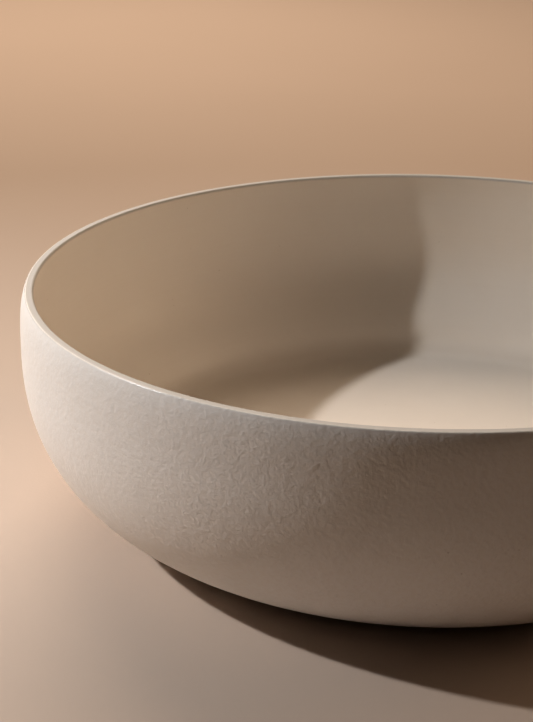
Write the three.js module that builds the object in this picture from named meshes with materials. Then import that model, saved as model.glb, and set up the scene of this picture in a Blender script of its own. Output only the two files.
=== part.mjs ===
// A low porcelain serving bowl: a fired clay body on a bare foot ring, with a smooth glaze
// coat inside and over the lip, a matte glaze coat outside, and a thin coat in the foot recess.
// Millimetres, +Z up. The origin is the centre of the plane that the foot ring rests on.
import * as THREE from "three";

// Overall size
const bowlHeight = 90;
const lipRadius = 150; // to the outer edge of the lip
const bellyBulge = 2.15; // how far the belly stands out past the lip
const bellyDrop = 24; // from the lip's top down to the widest ring

// Lip and wall
const lipWidth = 3.4;
const lipCorner = 0.9; // radius of each of the lip's two rounded edges
const lipLean = THREE.MathUtils.degToRad(26); // the outside leans inwards at the lip
const innerLean = THREE.MathUtils.degToRad(12.5); // so does the inside
const wallThickness = 4; // at the belly

// Inside floor and the cove that joins it to the wall
const floorThickness = 9.4; // from the recess up to the eating surface
const floorInset = 37.5; // the flat floor's edge lies this far inside the lip's radius
const coveRadius = 15;
const coveTurn = THREE.MathUtils.degToRad(58); // how far the cove turns up from the floor

// Foot ring and recess
const footInset = 47; // the resting face's outer edge lies this far inside the lip's radius
const footWidth = 10; // of the flat resting face
const footBevel = 1.8; // from the resting face out to the foot of the side
const footLift = 0.45; // the foot of the side stands this far above the resting face
const footSlope = THREE.MathUtils.degToRad(18.7); // the side's rise from level at its foot
const footEdge = 0.8; // rounded inner edge of the ring
const recessDepth = 4.4;

// Glaze
const glazeCoat = 0.4;
const glazeStop = 2.4; // the outside glaze ends this high above the resting face
const bondGap = 0.02; // left between two pieces that are fused in the kiln

// How strongly each end of a side curve holds its direction, as a share of the curve's span
const sideFullness = { foot: 0.52, belly: 0.574 };
const shoulderFullness = { belly: 0.43, lip: 0.215 };
const innerShoulderFullness = { belly: 0.43, lip: 0.5 };
const insideFullness = { belly: 0.6, cove: 0.36 };

// Facets
const turns = 60;
const steps = {
  side: 9,
  shoulder: 4,
  corner: 2,
  straight: 1,
  insideWall: 6,
  cove: 4,
  foot: 2,
};

const bellyRadius = lipRadius + bellyBulge;
const bellyHeight = bowlHeight - bellyDrop;
const floorHeight = recessDepth + floorThickness;
const floorRadius = lipRadius - floorInset;
const footRadius = lipRadius - footInset;
const recessRadius = footRadius - footWidth;

const point = (radius, height) => new THREE.Vector2(radius, height);

// A cubic from one point to another that leaves along one angle and arrives along another.
function sweep(from, leaveAngle, leaveReach, to, arriveAngle, arriveReach) {
  const leave = point(Math.cos(leaveAngle), Math.sin(leaveAngle)).multiplyScalar(leaveReach);
  const arrive = point(Math.cos(arriveAngle), Math.sin(arriveAngle)).multiplyScalar(arriveReach);
  return new THREE.CubicBezierCurve(from, leave.add(from), arrive.negate().add(to), to);
}

function roundCorner(centre, radius, fromAngle, toAngle) {
  return new THREE.EllipseCurve(centre.x, centre.y, radius, radius, fromAngle, toAngle, false);
}

// Points of a curve from one share of it to another. Each has the glaze's outer skin, the back
// of its coat, and the clay one coat deeper. The clay is on the left as the outline runs from
// foot to lip to floor.
function trace(curve, count, start = 0, end = 1) {
  return Array.from({ length: count + 1 }, (_, i) => {
    const share = start + ((end - start) * i) / count;
    const skin = curve.getPoint(share);
    const along = curve.getTangent(share);
    const inwards = point(-along.y, along.x);
    return {
      skin,
      back: skin.clone().addScaledVector(inwards, glazeCoat - bondGap),
      clay: skin.clone().addScaledVector(inwards, glazeCoat),
    };
  });
}

// Joins traced stretches, dropping the first point of each that repeats the one before.
const chain = (...stretches) => stretches.flatMap((list, i) => (i ? list.slice(1) : list));

// The share of a rising curve at which it reaches a height, by halving the interval.
function shareAtHeight(curve, height) {
  let low = 0;
  let high = 1;
  while (high - low > 1e-9) {
    const middle = (low + high) / 2;
    if (curve.getPoint(middle).y < height) low = middle;
    else high = middle;
  }
  return low;
}

// The outside of the section: the side rises from the foot to the belly, and the shoulder
// closes in from the belly to the lip.
const up = Math.PI / 2;
const sideFoot = point(footRadius + footBevel, footLift);
const belly = point(bellyRadius, bellyHeight);
const side = sweep(
  sideFoot,
  footSlope,
  (sideFullness.foot * (belly.x - sideFoot.x)) / Math.cos(footSlope),
  belly,
  up,
  sideFullness.belly * (belly.y - sideFoot.y),
);
const lipEdge = point(lipRadius, bowlHeight - lipCorner * (1 - Math.sin(lipLean)));
const shoulderRise = lipEdge.y - belly.y;
const shoulder = sweep(
  belly,
  up,
  shoulderFullness.belly * shoulderRise,
  lipEdge,
  up + lipLean,
  shoulderFullness.lip * shoulderRise,
);

// The lip: two rounded edges with a narrow flat top between them.
const cornerHeight = bowlHeight - lipCorner;
const outerCorner = point(lipRadius - lipCorner * Math.cos(lipLean), cornerHeight);
const innerCorner = point(lipRadius - lipWidth + lipCorner, cornerHeight);
const outerEdge = roundCorner(outerCorner, lipCorner, lipLean, up);
const lipTop = new THREE.LineCurve(
  point(outerCorner.x, bowlHeight),
  point(innerCorner.x, bowlHeight),
);
const innerEdge = roundCorner(innerCorner, lipCorner, up, Math.PI + innerLean);

// The inside: the wall follows the shoulder and the side, then a cove turns it into the floor.
const innerBelly = point(bellyRadius - wallThickness, bellyHeight);
const underLip = innerEdge.getPoint(1);
const innerShoulderDrop = underLip.y - innerBelly.y;
const innerShoulder = sweep(
  underLip,
  innerLean - up,
  innerShoulderFullness.lip * innerShoulderDrop,
  innerBelly,
  -up,
  innerShoulderFullness.belly * innerShoulderDrop,
);
const coveCentre = point(floorRadius, floorHeight + coveRadius);
const coveTop = point(Math.sin(coveTurn), -Math.cos(coveTurn))
  .multiplyScalar(coveRadius)
  .add(coveCentre);
const innerWallDrop = innerBelly.y - coveTop.y;
const innerWall = sweep(
  innerBelly,
  -up,
  insideFullness.belly * innerWallDrop,
  coveTop,
  coveTurn - Math.PI,
  insideFullness.cove * innerWallDrop,
);
const cove = new THREE.EllipseCurve(
  coveCentre.x,
  coveCentre.y,
  coveRadius,
  coveRadius,
  coveTurn - up,
  -up,
  true,
);
const floor = new THREE.LineCurve(point(floorRadius, floorHeight), point(0, floorHeight));

const glazeLine = shareAtHeight(side, glazeStop);
const outside = chain(trace(side, steps.side, glazeLine), trace(shoulder, steps.shoulder));
const inside = chain(
  trace(outerEdge, steps.corner),
  trace(lipTop, steps.straight),
  trace(innerEdge, steps.corner),
  trace(innerShoulder, steps.shoulder),
  trace(innerWall, steps.insideWall),
  trace(cove, steps.cove),
  trace(floor, steps.straight),
);
const layer = (list, key) => list.map((place) => place[key]);
const seat = outside[0].clay; // where the clay body, the foot ring and the outside glaze meet

// Turns a closed half-section about the vertical axis.
function turned(name, section, colour, roughness) {
  const geometry = new THREE.LatheGeometry(section, turns);
  geometry.rotateX(up);
  const material = new THREE.MeshStandardMaterial({ color: colour, roughness, metalness: 0 });
  const mesh = new THREE.Mesh(geometry, material);
  mesh.name = name;
  return mesh;
}

function clayBody() {
  const underside = [
    point(0, recessDepth),
    point(recessRadius, recessDepth),
    point(recessRadius, seat.y),
  ];
  const section = [...underside, ...layer(outside, "clay"), ...layer(inside, "clay").slice(1)];
  return turned("clay_body", section, 0xddd3c6, 0.85);
}

// The ring carries the side's curve on below the glaze line and ends in the flat resting face.
function footRing() {
  const top = seat.y - bondGap;
  const bareSide = layer(trace(side, steps.foot, 0, glazeLine), "clay").slice(0, -1);
  const section = [
    point(recessRadius + footEdge, 0),
    point(footRadius, 0),
    ...bareSide,
    point(seat.x, top),
    point(recessRadius, top),
    point(recessRadius, footEdge),
    point(recessRadius + footEdge, 0),
  ];
  return turned("foot_ring", section, 0xd6cab9, 0.9);
}

function outsideGlaze() {
  const section = [
    ...layer(outside, "skin"),
    ...layer(outside, "back").reverse(),
    outside[0].skin,
  ];
  return turned("outside_glaze", section, 0xe4dacd, 0.75);
}

function insideGlaze() {
  const section = [...layer(inside, "back").reverse(), ...layer(inside, "skin")];
  return turned("inside_glaze", section, 0xe6dccd, 0.5);
}

// A disc of glaze on the recess's ceiling.
function baseGlaze() {
  const radius = recessRadius - bondGap;
  const section = [
    point(0, recessDepth - glazeCoat),
    point(radius, recessDepth - glazeCoat),
    point(radius, recessDepth - bondGap),
    point(0, recessDepth - bondGap),
  ];
  return turned("base_glaze", section, 0xe2d8ca, 0.55);
}

const bowl = new THREE.Group();
bowl.add(clayBody(), footRing(), outsideGlaze(), insideGlaze(), baseGlaze());

export default bowl;
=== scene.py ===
# A low porcelain serving bowl in fine detail: two glaze coats, the clay between them, a bare
# foot ring and the glaze in its recess, all turned about one axis.
import math
import bmesh
import bpy
import numpy as np
from mathutils import Matrix, Vector


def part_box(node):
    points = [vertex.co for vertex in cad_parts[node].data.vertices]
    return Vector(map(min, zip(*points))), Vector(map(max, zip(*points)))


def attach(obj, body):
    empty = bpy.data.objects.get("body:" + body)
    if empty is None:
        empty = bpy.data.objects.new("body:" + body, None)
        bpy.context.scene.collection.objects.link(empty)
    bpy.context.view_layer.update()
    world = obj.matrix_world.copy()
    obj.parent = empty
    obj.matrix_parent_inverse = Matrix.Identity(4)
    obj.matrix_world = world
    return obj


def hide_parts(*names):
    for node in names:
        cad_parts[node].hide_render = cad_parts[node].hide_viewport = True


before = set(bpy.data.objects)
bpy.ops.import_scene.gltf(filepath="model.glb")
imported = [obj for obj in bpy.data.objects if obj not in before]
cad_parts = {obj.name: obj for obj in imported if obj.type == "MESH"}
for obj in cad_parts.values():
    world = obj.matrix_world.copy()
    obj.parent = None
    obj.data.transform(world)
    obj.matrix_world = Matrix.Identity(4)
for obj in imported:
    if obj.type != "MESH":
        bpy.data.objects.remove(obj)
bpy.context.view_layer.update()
print("frame loaded:", ", ".join(sorted(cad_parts)))

mm = 0.001
quarterTurn = math.pi / 2


# Curves of the half-section, each an array of (radius, height) rows

def sweepCurve(start, leaveAngle, leaveReach, end, arriveAngle, arriveReach, count):
    # cubic: (1-t)^3 A + 3(1-t)^2 t B + 3(1-t) t^2 C + t^3 D, where B and C lie along the end angles
    t = np.linspace(0, 1, count)[:, None]
    a, d = np.array(start, float), np.array(end, float)
    b = a + leaveReach * np.array([math.cos(leaveAngle), math.sin(leaveAngle)])
    c = d - arriveReach * np.array([math.cos(arriveAngle), math.sin(arriveAngle)])
    return (1 - t) ** 3 * a + 3 * (1 - t) ** 2 * t * b + 3 * (1 - t) * t**2 * c + t**3 * d


def arcCurve(centre, radius, fromAngle, toAngle, count):
    # circle: centre + radius (cos a, sin a), with a running evenly between the two angles
    a = np.linspace(fromAngle, toAngle, count)
    return np.array(centre) + radius * np.column_stack([np.cos(a), np.sin(a)])


def lineCurve(start, end, count):
    # straight line: start + t (end - start)
    t = np.linspace(0, 1, count)[:, None]
    return np.array(start) + t * (np.array(end) - np.array(start))


def chain(*stretches):
    # joins stretches end to end and drops each repeated first row
    return np.vstack([stretches[0], *[stretch[1:] for stretch in stretches[1:]]])


def lengthAlong(curve):
    # length from the first row to each row: the running sum of |row step|
    return np.concatenate([[0], np.cumsum(np.linalg.norm(np.diff(curve, axis=0), axis=1))])


def evenly(curve, count):
    # the same curve with its rows at even steps of length
    run = lengthAlong(curve)
    places = np.linspace(0, run[-1], count)
    return np.column_stack([np.interp(places, run, curve[:, k]) for k in (0, 1)])


def deeper(curve, depth):
    # moves each row by depth along its left normal (-dz, dr), worked out from its neighbours
    along = np.gradient(curve, axis=0)
    along /= np.linalg.norm(along, axis=1)[:, None]
    return curve + depth * np.column_stack([-along[:, 1], along[:, 0]])


def thinned(curve):
    # every third row of a hidden curve, with its last row kept
    return np.vstack([curve[:-1:3], curve[-1:]])


# The bowl's section. Radii and heights come from the frame, the rest repeats the design.

bowl = dict(
    glazeCoat=0.4 * mm,
    bondGap=0.02 * mm,  # left between two pieces that are fused in the kiln
    bellyHeight=66 * mm,
    lipWidth=3.4 * mm,
    lipCorner=0.9 * mm,
    lipLean=math.radians(26),  # of the outside
    innerLean=math.radians(12.5),
    wallThickness=4 * mm,
    coveRadius=15 * mm,
    coveTurn=math.radians(58),
    floorInset=37.5 * mm,
    footBevel=1.8 * mm,
    footInset=47 * mm,
    footWidth=10 * mm,
    footLift=0.45 * mm,
    footSlope=math.radians(18.7),
    footEdge=0.8 * mm,
    sideFull=(0.52, 0.574),  # how far the curve holds its direction at the foot and the belly
    shoulderFull=(0.43, 0.215),  # at the belly and the lip
    innerShoulderFull=(0.43, 0.5),  # at the belly and the lip
    insideFull=(0.6, 0.36),  # at the belly and the cove
)
rows = dict(
    sideFit=1200,  # before the side is cut at the glaze line
    side=84,
    shoulder=40,
    lipCorner=10,
    lipTop=5,
    innerShoulder=24,
    innerWallFit=52,
    innerWall=48,
    cove=20,
    floor=40,
)
outsideLow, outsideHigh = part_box("outside_glaze")
insideLow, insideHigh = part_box("inside_glaze")
baseLow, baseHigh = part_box("base_glaze")
ringLow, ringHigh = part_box("foot_ring")
bellyRadius = outsideHigh.x
lipRadius = insideHigh.x
rimHeight = insideHigh.z
glazeStop = outsideLow.z
floorHeight = insideLow.z + bowl["glazeCoat"]
recessHeight = baseLow.z + bowl["glazeCoat"]
seatHeight = ringHigh.z
footRadius = lipRadius - bowl["footInset"]
recessRadius = footRadius - bowl["footWidth"]
backDepth = bowl["glazeCoat"] - bowl["bondGap"]  # of the back of a coat below its skin


def sideSection():
    # foot of the side to belly, cut at the glaze line: (bare part below, glazed part above)
    foot = (footRadius + bowl["footBevel"], bowl["footLift"])
    leave, arrive = bowl["sideFull"]
    reach = leave * (bellyRadius - foot[0]) / math.cos(bowl["footSlope"])
    rise = arrive * (bowl["bellyHeight"] - foot[1])
    belly = (bellyRadius, bowl["bellyHeight"])
    whole = sweepCurve(foot, bowl["footSlope"], reach, belly, quarterTurn, rise, rows["sideFit"])
    cut = int(np.searchsorted(whole[:, 1], glazeStop))
    return whole[: cut + 1], whole[cut:]


def outsideSection():
    # glaze line to belly, then belly to the start of the lip's outer corner
    lean = bowl["lipLean"]
    belly = (bellyRadius, bowl["bellyHeight"])
    lipEdge = (lipRadius, rimHeight - bowl["lipCorner"] * (1 - math.sin(lean)))
    rise = lipEdge[1] - belly[1]
    leave, arrive = bowl["shoulderFull"]
    shoulder = sweepCurve(belly, quarterTurn, leave * rise,
                          lipEdge, quarterTurn + lean, arrive * rise, rows["shoulder"])
    return chain(evenly(sideSection()[1], rows["side"]), evenly(shoulder, rows["shoulder"]))


def lipSection():
    # outer corner, flat top and inner corner
    corner = bowl["lipCorner"]
    outer = (lipRadius - corner * math.cos(bowl["lipLean"]), rimHeight - corner)
    inner = (lipRadius - bowl["lipWidth"] + corner, rimHeight - corner)
    return chain(
        arcCurve(outer, corner, bowl["lipLean"], quarterTurn, rows["lipCorner"]),
        lineCurve((outer[0], rimHeight), (inner[0], rimHeight), rows["lipTop"]),
        arcCurve(inner, corner, quarterTurn, math.pi + bowl["innerLean"], rows["lipCorner"]),
    )


def insideSection():
    # over the lip, down the wall, round the cove and in to the axis
    lip = lipSection()
    belly = (bellyRadius - bowl["wallThickness"], bowl["bellyHeight"])
    drop = lip[-1][1] - belly[1]
    arrive, leave = bowl["innerShoulderFull"]
    shoulder = sweepCurve(lip[-1], bowl["innerLean"] - quarterTurn, leave * drop,
                          belly, -quarterTurn, arrive * drop, rows["innerShoulder"])
    floorEdge = lipRadius - bowl["floorInset"]
    coveCentre = (floorEdge, floorHeight + bowl["coveRadius"])
    cove = arcCurve(coveCentre, bowl["coveRadius"], bowl["coveTurn"] - quarterTurn, -quarterTurn,
                    rows["cove"])
    wallDrop = belly[1] - cove[0][1]
    leave, arrive = bowl["insideFull"]
    wall = sweepCurve(belly, -quarterTurn, leave * wallDrop,
                      cove[0], bowl["coveTurn"] - math.pi, arrive * wallDrop, rows["innerWallFit"])
    floor = lineCurve((floorEdge, floorHeight), (0, floorHeight), rows["floor"])
    return chain(lip, shoulder, evenly(wall, rows["innerWall"]), cove, floor)


# Turning a section into a mesh

turnsAround = 400
kilnWarp = dict(
    ovalShare=0.0006,
    ovalPhase=0.7,
    threeShare=0.00025,
    threePhase=2.1,
    rimLift=0.16 * mm,
    rimPhase=1.3,
)
sharpEdge = math.radians(38)
weldDistance = 1e-7


def warped(radius, height, angle):
    # out of round by two and three lobes that grow with height, and a rim that rises and dips:
    # r (1 + h a cos(2 q + p) + h b cos(3 q + s)), z + (h r / R)^2 c (cos(2 q + u) - 1) / 2, with h the
    # share of the height and R the lip's radius
    share = height / rimHeight
    lobes = (kilnWarp["ovalShare"] * np.cos(2 * angle + kilnWarp["ovalPhase"])
             + kilnWarp["threeShare"] * np.cos(3 * angle + kilnWarp["threePhase"]))
    lift = kilnWarp["rimLift"] * (np.cos(2 * angle + kilnWarp["rimPhase"]) - 1) / 2
    return radius * (1 + share * lobes), height + (share * radius / lipRadius) ** 2 * lift


def weldMesh(mesh):
    # joins the points that meet on the axis, turns every face outwards and smooths it
    work = bmesh.new()
    work.from_mesh(mesh)
    bmesh.ops.remove_doubles(work, verts=work.verts, dist=weldDistance)
    bmesh.ops.recalc_face_normals(work, faces=work.faces)
    for face in work.faces:
        face.smooth = True
    work.to_mesh(mesh)
    work.free()


def addMap(mesh, section, bands):
    # UV map: u runs once round, v is the length along the section in metres
    run = lengthAlong(section)
    band, column = np.meshgrid(np.arange(bands), np.arange(turnsAround), indexing="ij")
    around = np.stack([column, column + 1, column + 1, column], -1) / turnsAround
    lengthways = np.stack([run[band], run[band], run[band + 1], run[band + 1]], -1)
    uv = mesh.uv_layers.new(name="turned")
    uv.data.foreach_set("uv", np.stack([around, lengthways], -1).ravel())


def revolve(name, section, closed, ripple=None):
    # surface (r(s) cos q, r(s) sin q, z(s)) over rows s and angles q; a closed section is a ring,
    # an open one starts and ends on the axis, where its end rows become single points
    line = section[:-1] if closed else section
    angle = np.linspace(0, 2 * math.pi, turnsAround, endpoint=False)
    radius, around = np.meshgrid(line[:, 0], angle, indexing="ij")
    height = np.repeat(line[:, 1][:, None], turnsAround, axis=1)
    if ripple is not None:
        height = ripple(height, around)
    radius, height = warped(radius, height, around)
    grid = np.stack([radius * np.cos(around), radius * np.sin(around), height], axis=-1)
    number = np.arange(len(line) * turnsAround).reshape(len(line), turnsAround)
    below = number if closed else number[:-1]
    above = np.roll(number, -1, axis=0) if closed else number[1:]
    corners = [below, np.roll(below, -1, axis=1), np.roll(above, -1, axis=1), above]
    faces = np.stack(corners, axis=-1)
    mesh = bpy.data.meshes.new(name)
    mesh.from_pydata(grid.reshape(-1, 3).tolist(), [], faces.reshape(-1, 4).tolist())
    piece = bpy.data.objects.new(name, mesh)
    bpy.context.scene.collection.objects.link(piece)
    addMap(mesh, section, len(below))
    weldMesh(mesh)
    mesh.set_sharp_from_angle(angle=sharpEdge)
    return piece


# Shader sums

class Value:
    # a shader socket that takes part in Python sums
    def __init__(self, maker, socket):
        self.maker = maker
        self.socket = socket

    def sum(self, operation, first, second):
        return self.maker.node("ShaderNodeMath", dict(operation=operation), [first, second])

    def __add__(self, other):
        return self.sum("ADD", self, other)

    def __radd__(self, other):
        return self.sum("ADD", self, other)

    def __sub__(self, other):
        return self.sum("SUBTRACT", self, other)

    def __rsub__(self, other):
        return self.sum("SUBTRACT", other, self)

    def __mul__(self, other):
        return self.sum("MULTIPLY", self, other)

    def __rmul__(self, other):
        return self.sum("MULTIPLY", self, other)

    def __pow__(self, other):
        return self.sum("POWER", self, other)

    def between(self, low, high):
        # 0 at low, 1 at high, smooth in between
        return self.maker.node("ShaderNodeMapRange", dict(interpolation_type="SMOOTHSTEP"),
                               {"Value": self, "From Min": low, "From Max": high})


class Maker:
    # adds nodes to one material
    def __init__(self, name):
        self.material = bpy.data.materials.new(name)
        self.material.use_nodes = True
        self.tree = self.material.node_tree
        self.surface = self.tree.nodes["Principled BSDF"]
        self.place = self.node("ShaderNodeTexCoord", {}, {}, "Object")

    def node(self, kind, settings, sockets, output=0):
        made = self.tree.nodes.new(kind)
        for key, setting in settings.items():
            setattr(made, key, setting)
        pairs = sockets.items() if isinstance(sockets, dict) else enumerate(sockets)
        for key, given in pairs:
            self.feed(made.inputs[key], given)
        return Value(self, made.outputs[output])

    def feed(self, socket, given):
        if isinstance(given, Value):
            self.tree.links.new(given.socket, socket)
        elif isinstance(given, tuple) and socket.type == "RGBA":
            socket.default_value = (*given, 1)
        else:
            socket.default_value = given

    def finish(self, **sockets):
        for key, given in sockets.items():
            self.feed(self.surface.inputs[key.replace("_", " ")], given)
        return self.material

    def noise(self, size, detail=2.0, roughness=0.5, place=None):
        # soft noise, its lumps about size metres across
        sockets = {"Vector": place or self.place, "Scale": 1 / size, "Detail": detail,
                   "Roughness": roughness}
        return self.node("ShaderNodeTexNoise", {}, sockets, "Fac")

    def specks(self, size, reach, core):
        # small dots in cells of the given size: 0 beyond reach from a cell's centre, 1 within core
        sockets = {"Vector": self.place, "Scale": 1 / size}
        return self.node("ShaderNodeTexVoronoi", {}, sockets, "Distance").between(reach, core)

    def mix(self, share, first, second):
        # two colours; 6, 7 and 2 number the Mix node's colour sockets
        return self.node("ShaderNodeMix", dict(data_type="RGBA"), {0: share, 6: first, 7: second}, 2)

    def bump(self, height, depth, under=None):
        sockets = {"Height": height, "Distance": depth, "Strength": 1.0}
        if under is not None:
            sockets["Normal"] = under
        return self.node("ShaderNodeBump", {}, sockets)

    def point(self, x, y=0.0):
        return self.node("ShaderNodeCombineXYZ", {}, {"X": x, "Y": y})

    def axisParts(self):
        # distance from the axis, (x x + y y)^0.5, and height of a point
        split = self.tree.nodes.new("ShaderNodeSeparateXYZ")
        self.tree.links.new(self.place.socket, split.inputs[0])
        x, y, z = (Value(self, output) for output in split.outputs)
        return (x * x + y * y) ** 0.5, z


def broadTint(make, look, broad):
    # the two creams, drifting slowly from one to the other
    share = broad.between(*look["drift"]) * look["driftShare"]
    return make.mix(share, look["cream"], look["creamLow"])


def speckled(make, look, colour):
    # a few dark specks, in patches
    patches = make.noise(look["patch"]).between(*look["patchEdge"])
    specks = make.specks(look["speckCell"], *look["speckEdge"]) * patches
    return make.mix(specks * look["speckShare"], colour, look["speck"])


# Outside coat

pebbleLook = dict(
    swell=3.6 * mm,
    swellDepth=0.16 * mm,
    swellRoughness=0.55,
    pebble=1.6 * mm,
    pebbleDepth=0.06 * mm,
    pebbleEdge=(0.25, 0.75),
    grain=0.45 * mm,
    grainDepth=0.008 * mm,
)
outsideLook = dict(
    cream=(0.92, 0.88, 0.835),
    creamLow=(0.895, 0.85, 0.80),
    thin=(0.85, 0.77, 0.68),
    drift=(0.3, 0.7),
    driftShare=0.4,
    broad=26 * mm,
    broadDepth=0.2 * mm,
    hollowShade=(0.6, 0.35),  # where the pebbles dip, painted shade darkens the hollows
    hollowShadeShare=0.18,
    footBlend=2.5 * mm,  # the glaze thins over this height above its lower end
    footShare=0.9,
    speck=(0.36, 0.27, 0.19),
    speckCell=6 * mm,
    speckEdge=(0.062, 0.04),
    speckShare=0.3,
    patch=40 * mm,
    patchEdge=(0.5, 0.62),
    roughness=0.6,
    grainGloss=0.16,
    specular=0.5,
)


def pebbled(make, share, under=None):
    # orange-peel skin: broad swells, pebbles on them and a fine grain, each times share
    look = pebbleLook
    swell = make.noise(look["swell"], roughness=look["swellRoughness"])
    pebble = make.noise(look["pebble"])
    grain = make.noise(look["grain"], 1.0)
    normal = make.bump(swell * share, look["swellDepth"], under)
    normal = make.bump(pebble.between(*look["pebbleEdge"]) * share, look["pebbleDepth"], normal)
    return make.bump(grain * share, look["grainDepth"], normal), pebble, grain


def outsideMaterial():
    look = outsideLook
    make = Maker("matte_pebbled_glaze")
    height = make.axisParts()[1]
    broad = make.noise(look["broad"], 3.0)
    normal, pebble, grain = pebbled(make, 1.0, make.bump(broad, look["broadDepth"]))
    foot = 1 - height.between(glazeStop, glazeStop + look["footBlend"])
    colour = broadTint(make, look, broad)
    # painted shade: a darker colour in the pebbles' hollows
    colour = make.mix(pebble.between(*look["hollowShade"]) * look["hollowShadeShare"], colour, look["thin"])
    colour = make.mix(foot * look["footShare"], colour, look["thin"])
    colour = speckled(make, look, colour)
    gloss = look["roughness"] + (grain - 0.5) * look["grainGloss"]
    return make.finish(Base_Color=colour, Roughness=gloss, Normal=normal,
                       Specular_IOR_Level=look["specular"])


glazeLine = dict(
    wander=0.12 * mm,
    fade=1.2 * mm,
    waves=((1.0, 5, 0.4), (0.6, 11, 2.2), (0.4, 23, 1.1)),  # (strength, waves round, phase)
    rollRows=9,
)


def glazeLineRipple(height, angle):
    # the glaze line wanders: z + w e^(-(z - stop) / f) (1 + sum of a sin(n q + p) / 2) / 2
    near = np.exp(-np.maximum(height - glazeStop, 0) / glazeLine["fade"])
    wander = sum(a * np.sin(n * angle + phase) for a, n, phase in glazeLine["waves"]) / 2
    return height + near * glazeLine["wander"] * (wander + 1) / 2


def outsideCoat():
    skin = outsideSection()
    back = thinned(deeper(skin, backDepth))[::-1]
    # the coat's lower end is a half-round roll where the glaze stopped as it melted
    middle = (skin[0] + back[-1]) / 2
    start = math.atan2(*(back[-1] - middle)[::-1])
    roll = arcCurve(middle, np.linalg.norm(skin[0] - middle), start, start + math.pi,
                    glazeLine["rollRows"])
    section = chain(skin, np.vstack([skin[-1:], back]), roll)
    piece = revolve("outside_coat", section, True, glazeLineRipple)
    piece.data.materials.append(outsideMaterial())
    return piece


# Inside coat

insideLook = dict(
    cream=(0.875, 0.825, 0.76),
    creamLow=(0.85, 0.795, 0.725),
    pool=(0.82, 0.755, 0.68),
    drift=(0.3, 0.7),
    driftShare=0.4,
    broad=30 * mm,
    broadDepth=0.3 * mm,
    fine=1.6 * mm,
    fineDepth=0.012 * mm,
    floorBlend=(0.2 * mm, 6 * mm),  # above the floor, where it turns into the wall
    ring=2.2 * mm,
    ringRoughness=0.6,
    ringDepth=0.03 * mm,
    ringEdge=(0.35, 0.7),
    ringShare=0.08,
    wobble=14 * mm,
    wobbleReach=0.5 * mm,
    cove=(0.1 * mm, 2 * mm),  # above the floor, where the glaze starts to pool
    coveShare=0.5,
    coveGloss=0.05,
    speck=(0.34, 0.25, 0.17),
    speckCell=5.5 * mm,
    speckEdge=(0.05, 0.03),
    speckShare=0.4,
    patch=30 * mm,
    patchEdge=(0.5, 0.6),
    # lip: grey painted shade over the lip's top, against the light that falls on it
    lip=(0.59, 0.58, 0.56),
    lipBlend=(1.6 * mm, 0.2 * mm),  # below the lip's top
    lipShadeShare=0.9,
    lipDull=0.2,
    edgeBlend=(1.2 * mm, 0.2 * mm),  # in from the lip's outer edge, where the pebbles start
    edgeTint=(0.8 * mm, 0.2 * mm),  # and where the outside's cream starts
    edgeGloss=0.4,
    roughness=0.46,
    fineGloss=0.12,
    specular=0.36,
)


def insideMaterial():
    look = insideLook
    make = Maker("satin_glaze")
    radius, height = make.axisParts()
    onFloor = 1 - height.between(*(floorHeight + rise for rise in look["floorBlend"]))
    broad = make.noise(look["broad"], 3.0)
    fine = make.noise(look["fine"], 3.0)
    wobble = make.noise(look["wobble"])
    # turning rings: one noise read only along the radius on the floor and the height on the wall
    level = radius * onFloor + height * (1 - onFloor) + wobble * look["wobbleReach"]
    rings = make.noise(look["ring"], roughness=look["ringRoughness"], place=make.point(level))
    normal = make.bump(rings, look["ringDepth"], make.bump(broad, look["broadDepth"]))
    normal = make.bump(fine, look["fineDepth"], normal)
    onLip = height.between(*(rimHeight - drop for drop in look["lipBlend"]))
    edge = radius.between(*(lipRadius - inset for inset in look["edgeBlend"]))
    edgeTint = radius.between(*(lipRadius - inset for inset in look["edgeTint"]))
    normal = pebbled(make, edge, normal)[0]
    cove = onFloor * height.between(*(floorHeight + rise for rise in look["cove"]))
    colour = broadTint(make, look, broad)
    colour = make.mix(rings.between(*look["ringEdge"]) * look["ringShare"], colour, look["pool"])
    colour = make.mix(cove * look["coveShare"], colour, look["pool"])
    colour = speckled(make, look, colour)
    # painted shade: the lip's top is darkened towards grey
    colour = make.mix(onLip * look["lipShadeShare"], colour, look["lip"])
    colour = make.mix(edgeTint, colour, outsideLook["cream"])
    gloss = look["roughness"] + (fine - 0.5) * look["fineGloss"] - cove * look["coveGloss"]
    gloss = gloss + onLip * look["lipDull"] - edge * look["edgeGloss"]
    return make.finish(Base_Color=colour, Roughness=gloss, Normal=normal,
                       Specular_IOR_Level=look["specular"])


def insideCoat():
    skin = insideSection()
    back = thinned(deeper(skin, backDepth))[::-1]
    back[0, 0] = 0
    piece = revolve("inside_coat", np.vstack([back, skin]), False)
    piece.data.materials.append(insideMaterial())
    return piece


# Clay body, between the two coats

clayLook = dict(
    light=(0.70, 0.62, 0.53),
    dark=(0.64, 0.56, 0.46),
    broad=9 * mm,
    grain=0.5 * mm,
    grainDepth=0.04 * mm,
    roughness=0.85,
    grainGloss=0.15,
    lipRows=40,  # every third row is kept, starting afresh after this many
)


def clayMaterial():
    look = clayLook
    make = Maker("fired_clay")
    grain = make.noise(look["grain"], 3.0)
    colour = make.mix(make.noise(look["broad"]), look["light"], look["dark"])
    gloss = look["roughness"] + (grain - 0.5) * look["grainGloss"]
    return make.finish(Base_Color=colour, Roughness=gloss, Normal=make.bump(grain, look["grainDepth"]))


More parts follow.
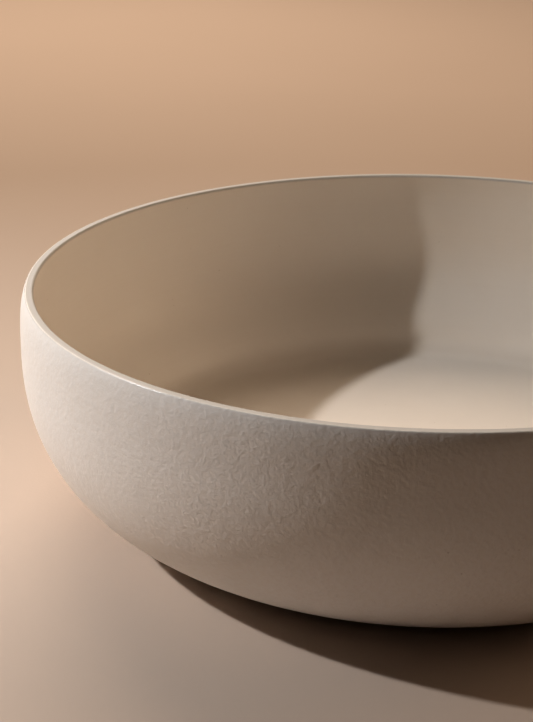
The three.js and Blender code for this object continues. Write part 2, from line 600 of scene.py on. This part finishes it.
def clayBody():
    coat = bowl["glazeCoat"]
    outer = deeper(outsideSection(), coat)[::3]
    inner = deeper(insideSection(), coat)
    lipRows = clayLook["lipRows"]
    inner = np.vstack([inner[:lipRows:3], inner[lipRows::3], [[0, floorHeight - coat]]])
    underside = np.array([[0, recessHeight], [recessRadius, recessHeight], [recessRadius, outer[0][1]]])
    piece = revolve("clay_core", np.vstack([underside, outer, inner]), False)
    piece.data.materials.append(clayMaterial())
    return piece


# Foot ring

footLook = dict(
    clay=(0.66, 0.58, 0.485),
    worn=(0.60, 0.515, 0.42),
    dirt=(0.45, 0.38, 0.31),
    broad=7 * mm,
    wornEdge=(0.35, 0.7),
    ring=0.8 * mm,
    ringDepth=0.05 * mm,
    grain=0.4 * mm,
    grainRoughness=0.65,
    grainDepth=0.05 * mm,
    restingBlend=(0.05 * mm, 0.5 * mm),
    dirtEdge=(0.45, 0.75),
    dirtShare=0.5,
    roughness=0.82,
    restingGloss=0.1,
    grainGloss=0.2,
)
footShape = dict(
    bevel=0.75 * mm,  # outer edge of the resting face
    seatInset=0.5 * mm,  # the top's rows start this far inside its outer edge
    bareRows=14,
    faceRows=14,
    bevelRows=6,
    topRows=8,
    edgeRows=8,
)


def footMaterial():
    look = footLook
    make = Maker("bare_fired_foot")
    radius, height = make.axisParts()
    grain = make.noise(look["grain"], 3.0, look["grainRoughness"])
    broad = make.noise(look["broad"])
    rings = make.noise(look["ring"], 1.0, place=make.point(radius, height))
    normal = make.bump(grain, look["grainDepth"], make.bump(rings, look["ringDepth"]))
    resting = 1 - height.between(*look["restingBlend"])
    dirt = resting * grain.between(*look["dirtEdge"]) * look["dirtShare"]
    colour = make.mix(broad.between(*look["wornEdge"]), look["clay"], look["worn"])
    colour = make.mix(dirt, colour, look["dirt"])
    gloss = look["roughness"] - resting * look["restingGloss"] + (grain - 0.5) * look["grainGloss"]
    return make.finish(Base_Color=colour, Roughness=gloss, Normal=normal)


def footRing():
    shape = footShape
    bare = deeper(evenly(sideSection()[0], shape["bareRows"]), bowl["glazeCoat"])
    bare = bare[bare[:, 1] < seatHeight]
    edge = bowl["footEdge"]
    bevel = shape["bevel"]
    outerEdge = arcCurve((footRadius, bevel), bevel, -quarterTurn, -quarterTurn / 2, shape["bevelRows"])
    innerEdge = arcCurve((recessRadius + edge, edge), edge, math.pi, 3 * quarterTurn, shape["edgeRows"])
    topOuter = bare[-1][0]
    section = np.vstack([
        lineCurve(innerEdge[-1], (footRadius, 0), shape["faceRows"]),
        outerEdge[1:],
        bare[1:],
        [[topOuter + bowl["bondGap"], seatHeight]],
        lineCurve((topOuter - shape["seatInset"], seatHeight), (recessRadius, seatHeight),
                  shape["topRows"]),
        innerEdge,
    ])
    piece = revolve("foot", section, True)
    piece.data.materials.append(footMaterial())
    return piece


# Glaze in the recess

baseLook = dict(
    cream=(0.75, 0.67, 0.58),
    creamLow=(0.70, 0.615, 0.515),
    drift=(0.3, 0.7),
    driftShare=0.5,
    broad=20 * mm,
    fine=1.3 * mm,
    fineDepth=0.02 * mm,
    ring=2.6 * mm,
    ringRoughness=0.6,
    ringDepth=0.08 * mm,
    wobbleReach=0.6 * mm,
    speck=(0.30, 0.21, 0.14),
    speckCell=6 * mm,
    speckEdge=(0.06, 0.035),
    speckShare=0.5,
    roughness=0.5,
    fineGloss=0.14,
)
baseShape = dict(
    meniscus=1.2 * mm,  # radius of the glaze's turn at the recess's wall
    edge=0.25 * mm,
    topInset=1 * mm,
    turnEnd=0.08,  # where the meniscus would end, as an angle from level
    turnRows=7,
    skinRows=50,
    topRows=20,
)


def baseMaterial():
    look = baseLook
    make = Maker("base_glaze")
    radius = make.axisParts()[0]
    broad = make.noise(look["broad"], 3.0)
    fine = make.noise(look["fine"], 3.0)
    ringPlace = make.point(radius + broad * look["wobbleReach"])
    rings = make.noise(look["ring"], roughness=look["ringRoughness"], place=ringPlace)
    normal = make.bump(fine, look["fineDepth"], make.bump(rings, look["ringDepth"]))
    specks = make.specks(look["speckCell"], *look["speckEdge"])
    colour = make.mix(specks * look["speckShare"], broadTint(make, look, broad), look["speck"])
    gloss = look["roughness"] + (fine - 0.5) * look["fineGloss"]
    return make.finish(Base_Color=colour, Roughness=gloss, Normal=normal)


def baseCoat():
    shape = baseShape
    radius = recessRadius - bowl["bondGap"]
    low = recessHeight - bowl["glazeCoat"]
    high = recessHeight - bowl["bondGap"]
    turn = shape["meniscus"]
    meet = arcCurve((radius - turn, low - turn), turn, quarterTurn, shape["turnEnd"], shape["turnRows"])
    section = np.vstack([
        lineCurve((0, low), (radius - turn, low), shape["skinRows"]),
        meet[1:4],
        [[radius, low - shape["edge"]]],
        [[radius, high]],
        lineCurve((radius - shape["topInset"], high), (0, high), shape["topRows"]),
    ])
    piece = revolve("base_coat", section, False)
    piece.data.materials.append(baseMaterial())
    return piece


pieces = [
    (outsideCoat(), "outside_glaze", "matte_outside_glaze"),
    (insideCoat(), "inside_glaze", "satin_inside_glaze"),
    (clayBody(), "clay_body", "fired_clay"),
    (footRing(), "foot_ring", "bare_foot"),
    (baseCoat(), "base_glaze", "base_glaze"),
]
for piece, node, slotName in pieces:
    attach(piece, "root")
    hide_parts(node)
    print("made", piece.name, "with", len(piece.data.polygons), "faces")


# Studio

floorLook = dict(
    light=(0.60, 0.50, 0.425),
    dark=(0.57, 0.475, 0.40),
    cloud=0.35,
    drift=(0.3, 0.7),
    driftShare=0.4,
    grain=1.1 * mm,
    grainDepth=0.03 * mm,
    roughness=0.85,
    grainGloss=0.1,
    radius=4.0,
    sides=96,
    fade=(1.25, 2.4),  # the floor fades into the backdrop between these two distances
)
lamps = dict(
    key=dict(azimuth=182, rise=35, distance=1.2, width=0.045, power=1.48, colour=(1.0, 1.0, 1.01),
             aim=(-0.33, -0.10, 0.0), spread=60),
    backFill=dict(azimuth=112, rise=38, distance=1.6, width=1.1, power=18.0, colour=(1.0, 0.82, 0.66)),
    sideFill=dict(azimuth=18, rise=27, distance=1.6, width=1.1, power=9.0, colour=(1.0, 0.74, 0.52)),
)
room = dict(colour=(1.0, 0.74, 0.52), strength=0.015, backdrop=(0.66, 0.57, 0.50), contrast=0.83)


def floorMaterial():
    look = floorLook
    make = Maker("pale_floor")
    cloud = make.noise(look["cloud"])
    grain = make.noise(look["grain"])
    share = cloud.between(*look["drift"]) * look["driftShare"]
    colour = make.mix(share, look["light"], look["dark"])
    gloss = look["roughness"] + (grain - 0.5) * look["grainGloss"]
    seen = 1 - make.axisParts()[0].between(*look["fade"])
    return make.finish(Base_Color=colour, Roughness=gloss, Alpha=seen,
                       Normal=make.bump(grain, look["grainDepth"]))


def makeFloor():
    # disc: (r cos q, r sin q, 0) as one face
    sides = floorLook["sides"]
    angle = np.linspace(0, 2 * math.pi, sides, endpoint=False)
    ring = floorLook["radius"] * np.column_stack([np.cos(angle), np.sin(angle), 0 * angle])
    mesh = bpy.data.meshes.new("studio_floor")
    mesh.from_pydata(ring.tolist(), [], [list(range(sides))])
    floor = bpy.data.objects.new("studio_floor", mesh)
    bpy.context.scene.collection.objects.link(floor)
    mesh.materials.append(floorMaterial())


def makeLamp(name, azimuth, rise, distance, width, power, colour,
             aim=(0, 0, rimHeight / 2), spread=180):
    # round soft light in the given direction (degrees from +X, degrees up) that faces aim
    turn, up = math.radians(azimuth), math.radians(rise)
    towards = Vector((math.cos(up) * math.cos(turn), math.cos(up) * math.sin(turn), math.sin(up)))
    glow = bpy.data.lights.new(name, "AREA")
    glow.shape = "DISK"
    glow.size = width
    glow.energy = power
    glow.color = colour
    glow.spread = math.radians(spread)
    lamp = bpy.data.objects.new(name, glow)
    lamp.location = Vector((0, 0, rimHeight / 2)) + distance * towards
    lamp.rotation_euler = (lamp.location - Vector(aim)).to_track_quat("Z", "Y").to_euler()
    bpy.context.scene.collection.objects.link(lamp)


def makeRoom():
    # dim warm room light; the eye sees a pale backdrop behind the floor
    world = bpy.data.worlds.new("studio")
    world.use_nodes = True
    tree = world.node_tree
    ambient = tree.nodes["Background"]
    ambient.inputs["Color"].default_value = (*room["colour"], 1)
    ambient.inputs["Strength"].default_value = room["strength"]
    seen = tree.nodes.new("ShaderNodeBackground")
    seen.inputs["Color"].default_value = (*room["backdrop"], 1)
    path = tree.nodes.new("ShaderNodeLightPath")
    mix = tree.nodes.new("ShaderNodeMixShader")
    tree.links.new(path.outputs["Is Camera Ray"], mix.inputs[0])
    tree.links.new(ambient.outputs[0], mix.inputs[1])
    tree.links.new(seen.outputs[0], mix.inputs[2])
    tree.links.new(mix.outputs[0], tree.nodes["World Output"].inputs[0])
    bpy.context.scene.world = world


# Camera: stands in front of the bowl and looks down and a little to the left

cameraStand = dict(back=0.6299, up=0.2947, yaw=0.0954, pitch=0.36446, lens=87.26, sensor=36)


def makeCamera():
    yaw, pitch = cameraStand["yaw"], cameraStand["pitch"]
    ahead = Vector((-math.sin(yaw) * math.cos(pitch), math.cos(yaw) * math.cos(pitch), -math.sin(pitch)))
    right = Vector((math.cos(yaw), math.sin(yaw), 0))
    upwards = right.cross(ahead)
    lensData = bpy.data.cameras.new("camera")
    lensData.lens = cameraStand["lens"]
    lensData.sensor_width = cameraStand["sensor"]
    camera = bpy.data.objects.new("camera", lensData)
    turn = Matrix((right, upwards, -ahead)).transposed()
    camera.matrix_world = Matrix.Translation((0, -cameraStand["back"], cameraStand["up"])) @ turn.to_4x4()
    bpy.context.scene.collection.objects.link(camera)
    bpy.context.scene.camera = camera


makeFloor()
for name, lamp in lamps.items():
    makeLamp(name, **lamp)
makeRoom()
makeCamera()
bpy.context.scene.view_settings.view_transform = "Standard"
bpy.context.scene.view_settings.gamma = room["contrast"]
print("studio made")
